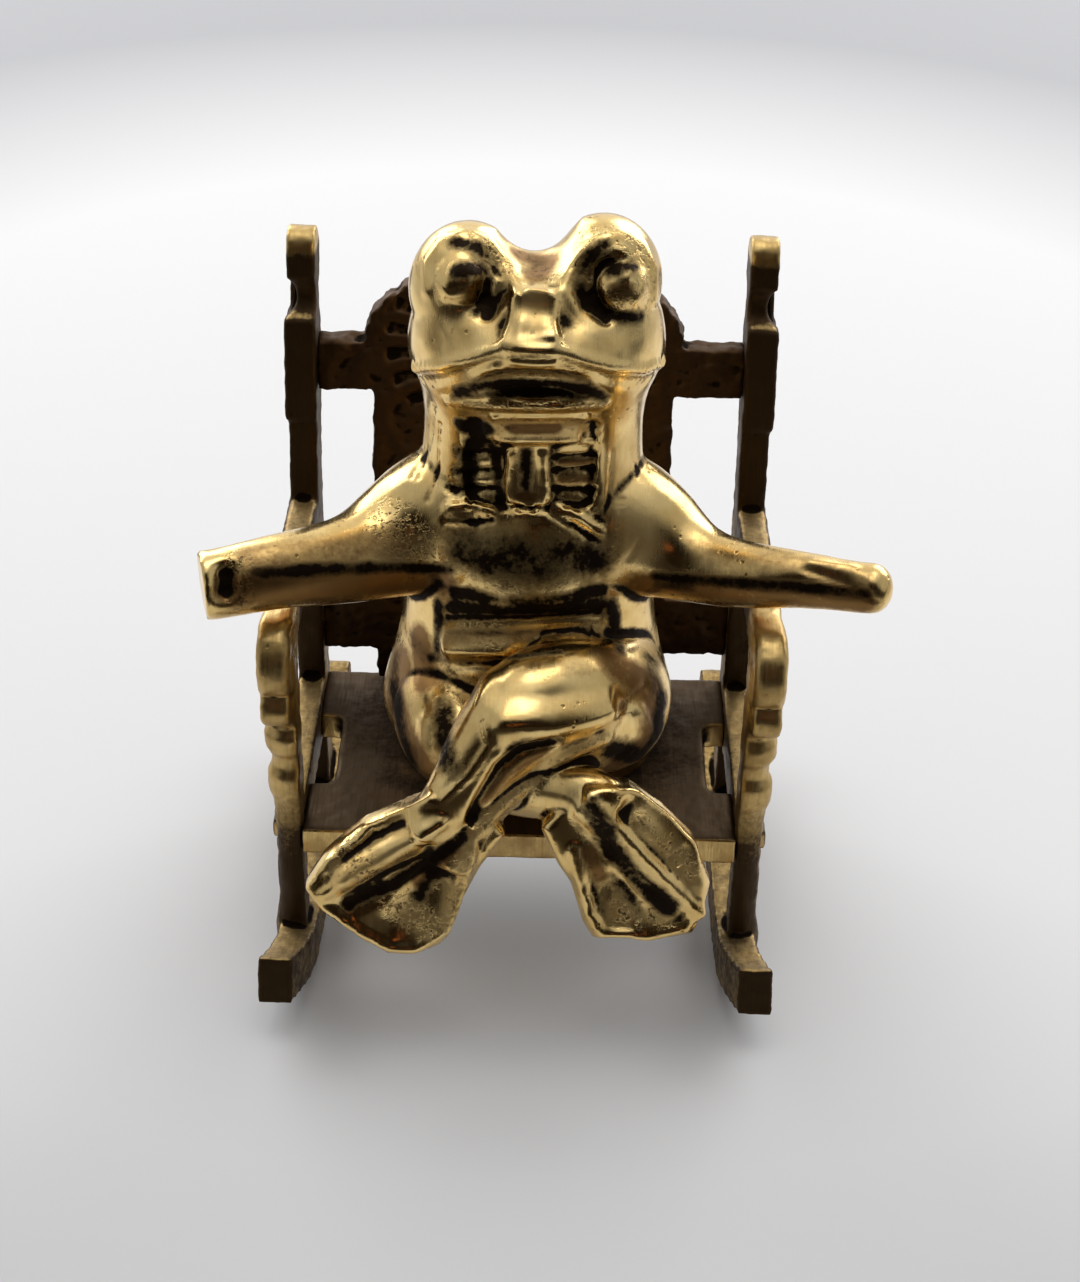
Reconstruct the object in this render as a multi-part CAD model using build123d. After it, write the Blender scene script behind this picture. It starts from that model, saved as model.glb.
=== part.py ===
from build123d import *
import math
import os

# A cast brass frog that sits with crossed legs in a small cast brass rocking chair.
# X runs across the chair, the front faces -Y, and the rockers rest on z = 0 at y = 0.

# Side frames
INNER_HALF = 25.3
FRAME_THICK = 3.4
ROCKER_RADIUS = 72.0
ROCKER_BALANCE = 2.33
ROCKER_DEPTH = 5.0
ROCKER_WIDTH = 4.6
ROCKER_INSET = 1.2
ROCKER_FRONT_ANGLE = 14.0
ROCKER_REAR_ANGLE = 27.0
SOLE_FLAT = 9.0
TOE_ANGLE = 23.4
TOE_SPLAY = 1.7
TOE_WIDTH = 4.0
TOE_LIP = 0.35
FRONT_POST_FACE = 14.5
POST_BEAD_RADIUS = 3.0
POST_AXIS_INSET = 1.2
ARM_TOP = 49.4
ARM_DEPTH = 4.2
ARM_WIDTH = 3.6
ARM_FALL = 0.8
ARM_ROUND = 0.6
SCROLL_RADIUS = 4.9
SCROLL_WIDTH = 3.7
SCROLL_SET = 0.2
LOBE_RADIUS = 2.6
SCROLL_REACH = 2.7
RAIL_LOW = 16.2
RAIL_HEIGHT = 6.6
REAR_POST_FACE = 15.5
REAR_POST_DEPTH = 5.5
LEAN_START = 44.0
LEAN_ANGLE = 13.0
LEAN_RADIUS = 40.0
FRAME_HEIGHT = 80.5
BLOCK_SWELL = 0.4
BLOCK_HEIGHT = 12.5
SCOOP_RADIUS = 2.9
SCOOP_DEPTH = 1.1

# Seat
SEAT_THICK = 3.6
SEAT_TOP = 21.4
SEAT_FRONT = 13.7
SEAT_REAR = 19.3
SEAT_SIDE_GAP = 2.9
SEAT_CORNER = 1.6
FRONT_LUG = 9.2
REAR_LUG = 10.0
LUG_HOLLOW = 1.4
TENON_LENGTH = 5.0
TENON_THICK = 2.4
TENON_PROUD = 0.3
TENON_CLEARANCE = 0.12

# Back panel
PANEL_THICK = 3.0
PANEL_INSET = 1.5
PANEL_SIDE_GAP = 7.4
PANEL_STILE = 4.3
PANEL_SHIFT = -0.8
PANEL_SEAT_GAP = 0.6
CREST_SIDE_GAP = 7.3
CREST_RISE = 8.2
CREST_DROP = 13.5
CREST_CENTRE = 67.3
UPPER_LUG_DROP = 3.1
SCALLOP_RADIUS = 1.5
SCALLOP_COUNT = 32
RAY_COUNT = 32
RAY_DEPTH = 0.5
RAY_WIDTH = 1.7
HUB_RADIUS = 5.0
HUB_RISE = 0.6
UPPER_LUG = 5.6
LOWER_LUG = 8.1
LOWER_LUG_Z = 26.5
PANEL_TENON = 2.0
SLOT_COUNT = 5
SLOT_BAR = 1.8
SLOT_LOW = 28.0
SLOT_HIGH = 50.5

# Frog
FROG_SHIFT = 0.5
FROG_GAP = 0.1
BODY_HEIGHT = 67.4
BODY_HALF = 17.0
BODY_DEEP = 12.0
LOBE_HALF = 6.3
LOBE_DEEP = 6.6
LOBE_RISE = 7.1
LOBE_SPACING = 7.1
LOBE_TILT = 0.6
HEAD_LEAN = 0.4
EYE_RADIUS = 2.7
EYE_SOCKET = 4.3
EYE_SPACING = 8.4
NOSE_WIDTH = 5.6
MOUTH_HALF = 9.4
MOUTH_HEIGHT = 4.6
MOUTH_DEEP = 2.9
VEST_HALF = 7.2
VEST_HEIGHT = 11.5
VEST_DEEP = 0.9
COLLAR_HEIGHT = 3.0
TIE_HALF = 2.3
SHOULDER_RADIUS = 9.0
SHOULDER_CLEARANCE = 6.34
RIGHT_REACH = 39.3
LEFT_REACH = 35.4
ARM_FORWARD = 11.0
LEG_SPAN = 17.0
LEG_FORWARD = 24.0
LEG_THICK = 8.6
FOOT_WIDTH = 20.0
FOOT_LENGTH = 20.0
FOOT_THICK = 3.6
FOOT_LEAN = 15.6
FOOT_FORWARD = 27.4
FOOT_BASE = 14.2
FOOT_RIDGE = 2.1
CUT_OVERRUN = 2.0


def polar_on_rocker(radius, degrees):
    turn = math.radians(degrees)
    return (ROCKER_BALANCE + radius * math.sin(turn), ROCKER_CENTRE - radius * math.cos(turn))


def side_plate(outline, inner, width):
    return Pos(inner, 0, 0) * extrude(Plane.YZ * outline, amount=width)


def block(x_low, x_high, y_low, y_high, z_low, z_high):
    size = (x_high - x_low, y_high - y_low, z_high - z_low)
    middle = ((x_low + x_high) / 2, (y_low + y_high) / 2, (z_low + z_high) / 2)
    return Pos(*middle) * Box(*size)


def ball(centre, half_x, half_y, half_z):
    return Pos(*centre) * scale(Sphere(1), by=(half_x, half_y, half_z))


def oval(centre, along, upright, half_side, half_up):
    facing = Plane(origin=centre, x_dir=upright, z_dir=along)
    return facing * Ellipse(half_up, half_side)


# Sizes worked out from the named ones
UPPER_RADIUS = ROCKER_RADIUS - ROCKER_DEPTH
ROCKER_CENTRE = math.sqrt(ROCKER_RADIUS**2 - (SOLE_FLAT / 2) ** 2)
FRAME_OUTER = INNER_HALF + FRAME_THICK
SEAT_HALF = INNER_HALF - SEAT_SIDE_GAP
PANEL_HALF = INNER_HALF - PANEL_SIDE_GAP
CREST_HALF = INNER_HALF - CREST_SIDE_GAP
SLOT_WIDTH = (2 * (PANEL_HALF - PANEL_STILE) - (SLOT_COUNT - 1) * SLOT_BAR) / SLOT_COUNT
SLOT_PITCH = SLOT_WIDTH + SLOT_BAR
POST_Y = POST_BEAD_RADIUS - FRONT_POST_FACE
POST_X = INNER_HALF + POST_AXIS_INSET
SCROLL_Y = POST_Y - SCROLL_REACH + SCROLL_RADIUS / 2
SCROLL_Z = ARM_TOP - SCROLL_RADIUS
RAIL_TOP = RAIL_LOW + RAIL_HEIGHT
LEAN_PIVOT = REAR_POST_FACE + LEAN_RADIUS
LEAN = math.radians(LEAN_ANGLE)
PANEL_RADIUS = LEAN_RADIUS - PANEL_INSET
LEAN_RUN = (FRAME_HEIGHT - LEAN_START - LEAN_RADIUS * math.sin(LEAN)) / math.cos(LEAN)
leaning = Pos(0, LEAN_PIVOT, LEAN_START) * Rot(-LEAN_ANGLE, 0, 0)


def lean_run(height, radius):
    return (height - LEAN_START - radius * math.sin(LEAN)) / math.cos(LEAN)


def back_slab(radius, depth, foot, run):
    """Side outline of a sheet that rises upright, bends back and then leans."""
    inner = radius - depth
    middle = LEAN / 2
    points = []
    for reach in (radius, inner):
        start = (LEAN_PIVOT - reach, LEAN_START)
        half = (LEAN_PIVOT - reach * math.cos(middle), LEAN_START + reach * math.sin(middle))
        bend = (LEAN_PIVOT - reach * math.cos(LEAN), LEAN_START + reach * math.sin(LEAN))
        top = (bend[0] + run * math.sin(LEAN), bend[1] + run * math.cos(LEAN))
        points.append((start, half, bend, top))
    front, rear = points
    edges = [
        Line((front[0][0], foot), front[0]),
        ThreePointArc(*front[:3]),
        Line(front[2], front[3]),
        Line(front[3], rear[3]),
        Line(rear[3], rear[2]),
        ThreePointArc(rear[2], rear[1], rear[0]),
        Line(rear[0], (rear[0][0], foot)),
        Line((rear[0][0], foot), (front[0][0], foot)),
    ]
    return make_face(Curve() + edges)


# Tenon places shared by the tenons and their slots
FRONT_TENON_Y = FRONT_LUG / 2 - SEAT_FRONT
REAR_TENON_Y = SEAT_REAR - REAR_LUG / 2
SEAT_TENON_Z = SEAT_TOP - SEAT_THICK / 2
LOWER_TENON_Z = LOWER_LUG_Z + LOWER_LUG / 2
PANEL_MIDDLE = REAR_POST_FACE + PANEL_INSET + PANEL_THICK / 2
UPPER_LUG_Z = CREST_CENTRE - UPPER_LUG_DROP
UPPER_TENON_RUN = lean_run(UPPER_LUG_Z, PANEL_RADIUS)
CREST_RUN = lean_run(CREST_CENTRE, PANEL_RADIUS)
UPPER_TENON_REACH = -(PANEL_RADIUS - PANEL_THICK / 2)
TENON_END = FRAME_OUTER + TENON_PROUD


def seat_tenons(clearance):
    cutters = []
    for y in (FRONT_TENON_Y, REAR_TENON_Y):
        side = TENON_LENGTH / 2 + clearance
        rise = TENON_THICK / 2 + clearance
        far = TENON_END + (CUT_OVERRUN if clearance else 0)
        cutters.append(block(INNER_HALF, far, y - side, y + side, SEAT_TENON_Z - rise, SEAT_TENON_Z + rise))
    return cutters


def panel_tenons(clearance):
    deep = PANEL_TENON / 2 + clearance
    far = TENON_END + (CUT_OVERRUN if clearance else 0)
    low = LOWER_LUG / 2 - PANEL_INSET / 2 + clearance
    high = UPPER_LUG / 2 - PANEL_INSET / 2 + clearance
    lower = block(
        INNER_HALF, far, PANEL_MIDDLE - deep, PANEL_MIDDLE + deep, LOWER_TENON_Z - low, LOWER_TENON_Z + low
    )
    upper = leaning * block(
        INNER_HALF,
        far,
        UPPER_TENON_REACH - deep,
        UPPER_TENON_REACH + deep,
        UPPER_TENON_RUN - high,
        UPPER_TENON_RUN + high,
    )
    return [lower, upper]


# Rocker: an arc band with a rounded heel, worn flat under the middle
outer_arc = [polar_on_rocker(ROCKER_RADIUS, a) for a in (-ROCKER_FRONT_ANGLE, 0, ROCKER_REAR_ANGLE)]
inner_arc = [polar_on_rocker(UPPER_RADIUS, a) for a in (ROCKER_REAR_ANGLE, 0, -ROCKER_FRONT_ANGLE)]
band = make_face(
    Curve()
    + [
        ThreePointArc(*outer_arc),
        Line(outer_arc[2], inner_arc[0]),
        ThreePointArc(*inner_arc),
        Line(inner_arc[2], outer_arc[0]),
    ]
)
heel_at = polar_on_rocker((ROCKER_RADIUS + UPPER_RADIUS) / 2, ROCKER_REAR_ANGLE)
band += Pos(*heel_at) * Circle(ROCKER_DEPTH / 2)
ROCKER_INNER = INNER_HALF - ROCKER_INSET
rocker = side_plate(band, ROCKER_INNER, ROCKER_WIDTH)

# Toe: the front end of the rocker splays outward to a blunt end with a small lip
TOE_SECTION_SHARES = [(0, 0, 0), (0.35, 0.2, 0), (0.7, 0.62, 0.2), (1, 1, 1)]
toe_faces = []
for run_share, splay_share, lip_share in TOE_SECTION_SHARES:
    angle = ROCKER_FRONT_ANGLE + run_share * (TOE_ANGLE - ROCKER_FRONT_ANGLE)
    near = ROCKER_INNER + splay_share * TOE_SPLAY
    wide = ROCKER_WIDTH + run_share * (TOE_WIDTH - ROCKER_WIDTH)
    lip = lip_share * TOE_LIP
    low = polar_on_rocker(ROCKER_RADIUS, -angle)
    high = polar_on_rocker(UPPER_RADIUS - lip, -angle)
    corners = [
        (near, *low),
        (near + wide, *low),
        (near + wide, *high),
        (near, *high),
    ]
    toe_faces.append(make_face(Polyline(*corners, close=True)))
toe = loft(toe_faces)
sole_cut = block(
    ROCKER_INNER - CUT_OVERRUN,
    ROCKER_INNER + ROCKER_WIDTH + CUT_OVERRUN,
    ROCKER_BALANCE - SOLE_FLAT,
    ROCKER_BALANCE + SOLE_FLAT,
    -CUT_OVERRUN,
    0,
)

# Front post: turned beads cut flat on the inner side
POST_FOOT = polar_on_rocker(UPPER_RADIUS, 0)[1]
POST_RISE = SCROLL_Z - POST_FOOT
POST_PROFILE_SHARES = [
    (0.92, -0.04),
    (0.92, 0.02),
    (0.80, 0.07),
    (0.70, 0.13),
    (0.74, 0.22),
    (0.68, 0.29),
    (0.68, 0.45),
    (0.74, 0.50),
    (0.90, 0.545),
    (0.90, 0.60),
    (0.70, 0.63),
    (0.70, 0.665),
    (0.94, 0.70),
    (0.94, 0.745),
    (0.72, 0.77),
    (0.72, 0.785),
    (1.00, 0.81),
    (1.00, 0.855),
    (0.78, 0.89),
    (0.78, 1.00),
]
profile = [(0, POST_PROFILE_SHARES[0][1] * POST_RISE + POST_FOOT)]
for radius_share, rise_share in POST_PROFILE_SHARES:
    profile.append((radius_share * POST_BEAD_RADIUS, rise_share * POST_RISE + POST_FOOT))
profile.append((0, POST_RISE + POST_FOOT))
turned = revolve(Plane.XZ * make_face(Polyline(*profile, close=True)), axis=Axis.Z)
front_post = Pos(POST_X, POST_Y, 0) * turned
flat_side = block(
    POST_X - 2 * POST_BEAD_RADIUS,
    INNER_HALF,
    POST_Y - 2 * POST_BEAD_RADIUS,
    POST_Y + 2 * POST_BEAD_RADIUS,
    -ROCKER_DEPTH,
    ARM_TOP,
)
front_post -= flat_side
brace_low = polar_on_rocker(UPPER_RADIUS - ROCKER_DEPTH / 2, -ROCKER_FRONT_ANGLE * 0.8)
brace_toe = polar_on_rocker(UPPER_RADIUS, -ROCKER_FRONT_ANGLE * 1.3)
brace_dip = polar_on_rocker(UPPER_RADIUS - ROCKER_DEPTH / 3, -ROCKER_FRONT_ANGLE * 1.02)
brace_top = (POST_Y - POST_BEAD_RADIUS * 0.7, POST_FOOT + POST_RISE * 0.22)
foot_brace_edges = [
    ThreePointArc(brace_toe, brace_dip, brace_top),
    Line(brace_top, (POST_Y, brace_top[1])),
    Line((POST_Y, brace_top[1]), brace_low),
    Line(brace_low, brace_toe),
]
foot_brace = side_plate(make_face(Curve() + foot_brace_edges), INNER_HALF, FRAME_THICK)

# Arm with a scroll at its front end and a smaller lobe under it
REAR_JOIN = REAR_POST_FACE + REAR_POST_DEPTH / 2
arm_points = [
    (SCROLL_Y, ARM_TOP),
    (REAR_JOIN, ARM_TOP - ARM_FALL),
    (REAR_JOIN, ARM_TOP - ARM_FALL - ARM_DEPTH),
    (SCROLL_Y, ARM_TOP - ARM_DEPTH),
]
arm = side_plate(make_face(Polyline(*arm_points, close=True)), INNER_HALF, ARM_WIDTH)
arm = fillet(arm.edges().filter_by(Axis.Y, tolerance=LEAN_ANGLE).group_by(Axis.Z)[-1], ARM_ROUND)
LOBE_Y = SCROLL_Y - SCROLL_RADIUS + LOBE_RADIUS + SCROLL_SET
LOBE_Z = SCROLL_Z - SCROLL_RADIUS - SCROLL_SET
scroll_round = Pos(SCROLL_Y, SCROLL_Z) * Circle(SCROLL_RADIUS)
scroll_disc = side_plate(scroll_round, INNER_HALF + SCROLL_SET, SCROLL_WIDTH)
LOBE_WIDTH = SCROLL_WIDTH - 2 * SCROLL_SET
lobe_disc = side_plate(Pos(LOBE_Y, LOBE_Z) * Circle(LOBE_RADIUS), INNER_HALF + 2 * SCROLL_SET, LOBE_WIDTH)
scroll_disc = chamfer(scroll_disc.edges().filter_by(GeomType.CIRCLE), ARM_ROUND)
lobe_disc = chamfer(lobe_disc.edges().filter_by(GeomType.CIRCLE), ARM_ROUND / 2)

# Seat rail between the posts, hollowed a little along its lower edge
rail = block(INNER_HALF, FRAME_OUTER, POST_Y, REAR_JOIN, RAIL_LOW, RAIL_TOP)
RAIL_RUN = REAR_POST_FACE + FRONT_POST_FACE
RAIL_SAG = RAIL_HEIGHT / 6
HOLLOW_RADIUS = (RAIL_RUN**2 / 4 + RAIL_SAG**2) / (2 * RAIL_SAG)
hollow_at = (REAR_POST_FACE - RAIL_RUN / 2, RAIL_LOW - HOLLOW_RADIUS + RAIL_SAG)
rail -= side_plate(
    Pos(*hollow_at) * Circle(HOLLOW_RADIUS), INNER_HALF - CUT_OVERRUN, FRAME_THICK + 2 * CUT_OVERRUN
)

# Rear post: upright below, leaning back above, with a block at the crest lugs and a scooped finial
REAR_REACH = REAR_JOIN - ROCKER_BALANCE
POST_FOOT_REAR = ROCKER_CENTRE - math.sqrt(UPPER_RADIUS**2 - REAR_REACH**2) - ROCKER_DEPTH / 2
rear_post = side_plate(
    back_slab(LEAN_RADIUS, REAR_POST_DEPTH, POST_FOOT_REAR, LEAN_RUN), INNER_HALF, FRAME_THICK
)
LOCAL_FRONT = -LEAN_RADIUS
LOCAL_REAR = -(LEAN_RADIUS - REAR_POST_DEPTH)
swell = leaning * block(
    INNER_HALF,
    FRAME_OUTER + BLOCK_SWELL,
    LOCAL_FRONT - BLOCK_SWELL,
    LOCAL_REAR + BLOCK_SWELL,
    UPPER_TENON_RUN - BLOCK_HEIGHT / 2,
    UPPER_TENON_RUN + BLOCK_HEIGHT / 2,
)
SCOOP_RUN = UPPER_TENON_RUN + BLOCK_HEIGHT / 2 + SCOOP_RADIUS * 0.72
scoop = Pos(FRAME_OUTER + SCOOP_RADIUS - SCOOP_DEPTH, LOCAL_FRONT, SCOOP_RUN)
scoop_cut = leaning * scoop * Rot(90, 0, 0) * Cylinder(SCOOP_RADIUS, REAR_POST_DEPTH * 1.3)
neck_cuts = []
for reach, side in ((LOCAL_FRONT, -1), (LOCAL_REAR, 1)):
    neck_at = Pos(INNER_HALF + FRAME_THICK / 2, reach + side * (SCOOP_RADIUS - SCOOP_DEPTH), SCOOP_RUN)
    neck_cuts.append(leaning * neck_at * Rot(0, 90, 0) * Cylinder(SCOOP_RADIUS, FRAME_THICK * 3))
rear_post += swell
for cutter in [scoop_cut] + neck_cuts:
    rear_post -= cutter
top_edges = rear_post.edges().filter_by(Axis.X).sort_by(Axis.Z)[-2:]
rear_post = fillet(top_edges, REAR_POST_DEPTH * 0.42)

right_frame = scroll_disc + lobe_disc + arm + front_post + foot_brace + rocker + toe + rail + rear_post
right_frame -= sole_cut
for cutter in seat_tenons(TENON_CLEARANCE) + panel_tenons(TENON_CLEARANCE):
    right_frame -= cutter
left_frame = mirror(right_frame, about=Plane.YZ)

# Seat: a cast plate with hollowed sides, four lugs and a tenon on each lug
seat_depth = SEAT_REAR + SEAT_FRONT
plate = Pos(0, (SEAT_REAR - SEAT_FRONT) / 2) * RectangleRounded(2 * SEAT_HALF, seat_depth, SEAT_CORNER)
front_bar = Pos(0, FRONT_TENON_Y) * Rectangle(2 * INNER_HALF, FRONT_LUG)
rear_bar = Pos(0, REAR_TENON_Y) * Rectangle(2 * INNER_HALF, REAR_LUG)
seat_plan = plate + front_bar + rear_bar
inner_corners = [v for v in seat_plan.vertices() if abs(abs(v.X) - SEAT_HALF) < LUG_HOLLOW / 10]
seat_plan = fillet(inner_corners, LUG_HOLLOW)
seat = Pos(0, 0, SEAT_TOP - SEAT_THICK) * extrude(seat_plan, amount=SEAT_THICK)
for tenon in seat_tenons(0):
    seat += tenon
    seat += mirror(tenon, about=Plane.YZ)

# Back panel: a bent sheet cut to a scalloped oval crest over a slotted splat with four lugs
splat_low = SEAT_TOP + PANEL_SEAT_GAP
sheet_side = back_slab(PANEL_RADIUS, PANEL_THICK, splat_low, LEAN_RUN)
sheet = extrude(Plane.YZ * sheet_side, amount=INNER_HALF, both=True)
splat_middle = (splat_low + CREST_CENTRE) / 2
outline = Pos(PANEL_SHIFT, splat_middle) * Rectangle(2 * PANEL_HALF, CREST_CENTRE - splat_low)
crest_upper = Pos(PANEL_SHIFT, CREST_CENTRE) * Ellipse(CREST_HALF, CREST_RISE)
crest_lower = Pos(PANEL_SHIFT, CREST_CENTRE) * Ellipse(CREST_HALF, CREST_DROP)
half_plane = Pos(PANEL_SHIFT, CREST_CENTRE + CREST_DROP) * Rectangle(3 * CREST_HALF, 2 * CREST_DROP)
crest = (crest_upper & half_plane) + (crest_lower - half_plane)
outline += crest
for index in range(SCALLOP_COUNT):
    turn = 2 * math.pi * (index + 0.5) / SCALLOP_COUNT
    rise = CREST_RISE if math.sin(turn) > 0 else CREST_DROP
    at = (PANEL_SHIFT + CREST_HALF * math.cos(turn) * 0.97, CREST_CENTRE + rise * math.sin(turn) * 0.97)
    if at[1] > CREST_CENTRE - CREST_DROP / 2:
        outline += Pos(*at) * Circle(SCALLOP_RADIUS)
outline += Pos(0, UPPER_LUG_Z) * Rectangle(2 * INNER_HALF, UPPER_LUG)
outline += Pos(0, LOWER_TENON_Z) * Rectangle(2 * INNER_HALF, LOWER_LUG)
for index in range(SLOT_COUNT):
    slot_x = PANEL_SHIFT + (index - (SLOT_COUNT - 1) / 2) * SLOT_PITCH
    slot_at = Pos(slot_x, (SLOT_LOW + SLOT_HIGH) / 2)
    outline -= slot_at * Rot(0, 0, 90) * SlotOverall(SLOT_HIGH - SLOT_LOW, SLOT_WIDTH)
cutter = Pos(0, LEAN_PIVOT, 0) * extrude(Plane.XZ * outline, amount=2 * LEAN_RADIUS, both=True)
back_panel = sheet & cutter
star = Sketch()
for index in range(RAY_COUNT):
    turn = 2 * math.pi * (index + 0.5) / RAY_COUNT
    rise = CREST_RISE if math.sin(turn) > 0 else CREST_DROP
    far_end = math.hypot(CREST_HALF * math.cos(turn), rise * math.sin(turn)) - SCALLOP_RADIUS
    half = RAY_WIDTH / 2
    inner_half = half * HUB_RADIUS / CREST_HALF
    corners = [(HUB_RADIUS, -inner_half), (far_end, -half), (far_end, half), (HUB_RADIUS, inner_half)]
    star += Rot(0, 0, math.degrees(turn)) * make_face(Polyline(*corners, close=True))
ray_frame = leaning * Pos(PANEL_SHIFT, -PANEL_RADIUS, CREST_RUN)
back_panel -= ray_frame * Pos(0, RAY_DEPTH, 0) * extrude(Plane.XZ * star, amount=RAY_DEPTH + CUT_OVERRUN)
hub = ray_frame * ball((0, 0, 0), HUB_RADIUS * 0.8, HUB_RISE, HUB_RADIUS * 0.8)
back_panel += hub
for tenon in panel_tenons(0):
    back_panel += tenon
    back_panel += mirror(tenon, about=Plane.YZ)

# Frog: body and head in one loft of ovals from the seat to the brow
FROG_BASE = SEAT_TOP + FROG_GAP
BODY_SECTION_SHARES = [
    (0.0, 0.91, 0.83, 0.29),
    (0.092, 1.0, 1.0, 0.25),
    (0.21, 0.955, 1.0, 0.21),
    (0.33, 0.86, 0.96, 0.21),
    (0.4525, 0.83, 0.97, 0.24),
    (0.5415, 0.775, 0.90, 0.26),
    (0.63, 0.725, 0.815, 0.25),
    (0.705, 0.715, 0.767, 0.183),
    (0.764, 0.745, 0.80, 0.10),
    (0.823, 0.815, 0.90, 0.05),
    (0.883, 0.795, 0.95, -0.02),
    (0.93, 0.73, 0.68, -0.12),
    (0.965, 0.54, 0.42, -0.19),
    (0.985, 0.28, 0.24, -0.22),
]
NECK_SHARE = 0.6


def body_loft(shrink):
    faces = []
    for rise_share, half_share, deep_share, back_share in BODY_SECTION_SHARES:
        aside = FROG_SHIFT + HEAD_LEAN * max(0, rise_share - NECK_SHARE) / (1 - NECK_SHARE)
        centre = (aside, back_share * BODY_DEEP, FROG_BASE + rise_share * BODY_HEIGHT)
        half = half_share * BODY_HALF - shrink
        deep = deep_share * BODY_DEEP - shrink
        faces.append(oval(centre, (0, 0, 1), (0, 1, 0), half, deep))
    return loft(faces)


frog = body_loft(0)

# Sunken shirt front that leaves a collar and a tie standing
VEST_LOW = FROG_BASE + 0.58 * BODY_HEIGHT
VEST_HIGH = VEST_LOW + VEST_HEIGHT
vest_front = -2 * BODY_DEEP
vest = block(FROG_SHIFT - VEST_HALF, FROG_SHIFT + VEST_HALF, vest_front, 0, VEST_LOW, VEST_HIGH)
vest = fillet(vest.edges().filter_by(Axis.Y), VEST_HALF / 5)
vest -= block(
    FROG_SHIFT - VEST_HALF * 0.72,
    FROG_SHIFT + VEST_HALF * 0.72,
    vest_front,
    0,
    VEST_HIGH - COLLAR_HEIGHT,
    VEST_HIGH - COLLAR_HEIGHT / 6,
)
tie = block(
    FROG_SHIFT - TIE_HALF,
    FROG_SHIFT + TIE_HALF,
    vest_front,
    0,
    VEST_LOW + COLLAR_HEIGHT / 3,
    VEST_HIGH - COLLAR_HEIGHT * 1.15,
)
vest -= fillet(tie.edges().filter_by(Axis.Y), TIE_HALF / 3)
frog -= vest - body_loft(VEST_DEEP)

# Brow lobes with sockets and eyeballs
LOBE_Z_MID = FROG_BASE + BODY_HEIGHT - LOBE_RISE * 0.52
EYE_Z = LOBE_Z_MID + 0.30 * LOBE_RISE
LOBE_Y_MID = -LOBE_DEEP / 12
SOCKET_Y = LOBE_Y_MID - LOBE_DEEP * 1.2
EYE_Y = LOBE_Y_MID - LOBE_DEEP * 0.68
for side in (-1, 1):
    lobe_at = (FROG_SHIFT + side * LOBE_SPACING, LOBE_Y_MID, LOBE_Z_MID - LOBE_TILT / 2 + side * LOBE_TILT)
    frog += ball(lobe_at, LOBE_HALF, LOBE_DEEP, LOBE_RISE)
for side in (-1, 1):
    eye_x = FROG_SHIFT + 1.5 * HEAD_LEAN + side * EYE_SPACING
    frog -= Pos(eye_x - side * EYE_RADIUS / 6, SOCKET_Y, EYE_Z + EYE_RADIUS / 4) * Sphere(EYE_SOCKET)
for side in (-1, 1):
    eye_x = FROG_SHIFT + 1.5 * HEAD_LEAN + side * EYE_SPACING
    frog += Pos(eye_x, EYE_Y, EYE_Z - EYE_RADIUS / 6) * Sphere(EYE_RADIUS)

# Flat-topped ridge down the snout
NOSE_SHARES = [
    (0.985, 0.50, 0.50),
    (0.95, 0.62, 0.78),
    (0.915, 0.86, 0.97),
    (0.885, 1.0, 1.035),
]
nose_faces = []
for rise_share, width_share, reach_share in NOSE_SHARES:
    z = FROG_BASE + rise_share * BODY_HEIGHT
    half = width_share * NOSE_WIDTH / 2
    front = -reach_share * BODY_DEEP
    back = front + BODY_DEEP / 2
    corners = [
        (FROG_SHIFT - half * 2, back, z),
        (FROG_SHIFT - half, front, z),
        (FROG_SHIFT + half, front, z),
        (FROG_SHIFT + half * 2, back, z),
    ]
    nose_faces.append(make_face(Polyline(*corners, close=True)))
frog += loft(nose_faces, ruled=True)

# Mouth: a turned-down hollow, arched under the snout edge and straight along the lower lip
MOUTH_Z = FROG_BASE + 0.803 * BODY_HEIGHT
mouth = ball((FROG_SHIFT + HEAD_LEAN / 2, -BODY_DEEP * 0.93, MOUTH_Z), MOUTH_HALF, MOUTH_DEEP, MOUTH_HEIGHT)
mouth -= block(-2 * BODY_HALF, 2 * BODY_HALF, -2 * BODY_DEEP, 0, MOUTH_Z - 2 * MOUTH_HEIGHT, MOUTH_Z)
frog -= mouth

# Arms held out and forward, the left one cut short and thicker
SHOULDER_Z = ARM_TOP + SHOULDER_CLEARANCE
RIGHT_SECTION_SHARES = [
    (0.13, -0.16, -0.15, 1.0),
    (0.30, -0.05, -0.13, 0.91),
    (0.40, 0.12, -0.26, 0.70),
    (0.50, 0.36, -0.32, 0.51),
    (0.66, 0.74, -0.19, 0.40),
    (0.83, 0.96, -0.09, 0.335),
    (0.95, 1.08, -0.06, 0.315),
]
LEFT_SECTION_SHARES = [
    (0.15, -0.16, -0.15, 1.0),
    (0.34, -0.05, -0.14, 0.93),
    (0.45, 0.14, -0.27, 0.74),
    (0.57, 0.48, -0.27, 0.57),
    (0.75, 0.90, -0.14, 0.475),
    (0.92, 1.12, -0.16, 0.44),
    (1.0, 1.19, -0.17, 0.43),
]


def arm_points_of(table, reach, side):
    places = []
    for out_share, forward_share, rise_share, radius_share in table:
        x = FROG_SHIFT + side * out_share * reach
        y = -forward_share * ARM_FORWARD
        z = SHOULDER_Z + rise_share * SHOULDER_RADIUS
        places.append((Vector(x, y, z), radius_share * SHOULDER_RADIUS))
    return places


def limb(places, flat_share, upright):
    faces = []
    for index, (centre, radius) in enumerate(places):
        before = places[max(index - 1, 0)][0]
        after = places[min(index + 1, len(places) - 1)][0]
        faces.append(oval(centre, after - before, upright, radius * flat_share, radius))
    return loft(faces)


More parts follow.
